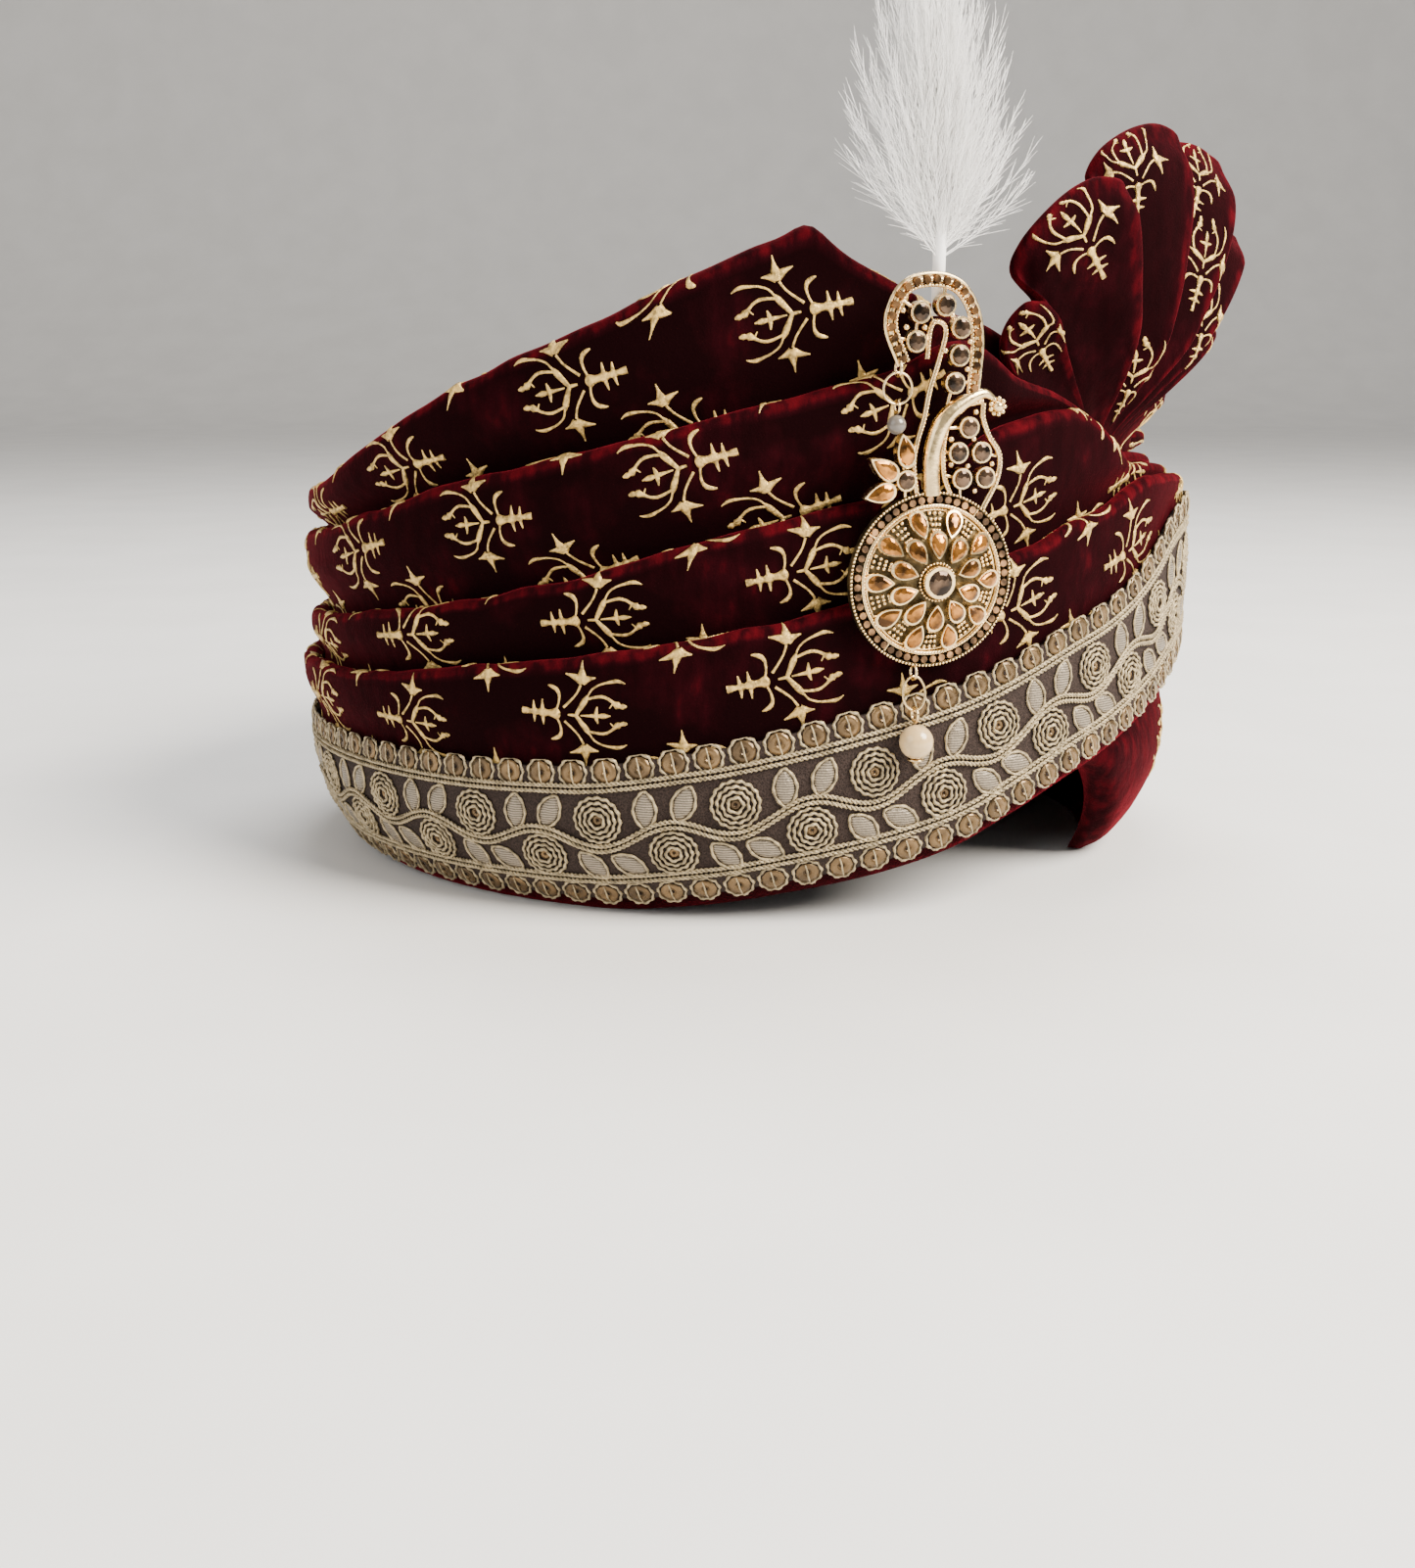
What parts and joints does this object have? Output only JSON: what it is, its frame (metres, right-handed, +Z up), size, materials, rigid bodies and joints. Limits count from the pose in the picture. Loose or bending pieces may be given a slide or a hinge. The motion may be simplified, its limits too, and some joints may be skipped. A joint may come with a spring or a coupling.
{
  "type": "tied turban",
  "caption": "Ready-tied velvet turban with wound folds, a sequinned lace rim, a pleated fan and a jewelled clip with a feather.",
  "frame": {"origin": "middle of the bounding box's underside, on the surface that the turban rests on", "axes": "+Z up; the front of the turban faces -Y; the knot, the fan and the raised rim are at +X"},
  "size_m": [0.2364, 0.225, 0.2105],
  "materials": {
    "velvet": "deep maroon velvet",
    "lace": "net with gold cord and sequins",
    "gilt": "polished pale gold plating",
    "amber_stone": "cut, foil backed",
    "smoky_stone": "cut, foil backed",
    "pearl": "cream pearl coating",
    "grey_pearl": "grey pearl coating",
    "feather": "white down"
  },
  "bodies": {
    "root": {"brooch_frame": "gilt", "crown": "velvet", "fan": "velvet", "jump_ring": "gilt", "lace_band": "lace", "nape_fold": "velvet", "pearl_cap": "gilt", "pearl_drop": "pearl", "pearl_eye": "gilt", "pearl_side": "grey_pearl", "plume": "feather", "side_eye": "gilt", "side_ring": "gilt", "stone_centre": "smoky_stone", "stone_hook_01": "smoky_stone", "stone_hook_02": "smoky_stone", "stone_hook_03": "smoky_stone", "stone_hook_04": "smoky_stone", "stone_hook_05": "smoky_stone", "stone_hook_06": "smoky_stone", "stone_inner_01": "amber_stone", "stone_inner_02": "amber_stone", "stone_inner_03": "amber_stone", "stone_inner_04": "amber_stone", "stone_inner_05": "amber_stone", "stone_inner_06": "amber_stone", "stone_inner_07": "amber_stone", "stone_inner_08": "amber_stone", "stone_inner_09": "amber_stone", "stone_inner_10": "amber_stone", "stone_leaf_01": "amber_stone", "stone_leaf_02": "amber_stone", "stone_leaf_03": "amber_stone", "stone_outer_01": "amber_stone", "stone_outer_02": "amber_stone", "stone_outer_03": "amber_stone", "stone_outer_04": "amber_stone", "stone_outer_05": "amber_stone", "stone_outer_06": "amber_stone", "stone_outer_07": "amber_stone", "stone_outer_08": "amber_stone", "stone_outer_09": "amber_stone", "stone_outer_10": "amber_stone", "stone_paisley_01": "smoky_stone", "stone_paisley_02": "smoky_stone", "stone_paisley_03": "smoky_stone", "stone_paisley_04": "smoky_stone", "stone_paisley_05": "smoky_stone", "stone_side": "smoky_stone", "wrap_1": "velvet", "wrap_2": "velvet", "wrap_3": "velvet", "wrap_4": "velvet"}
  },
  "joints": []
}
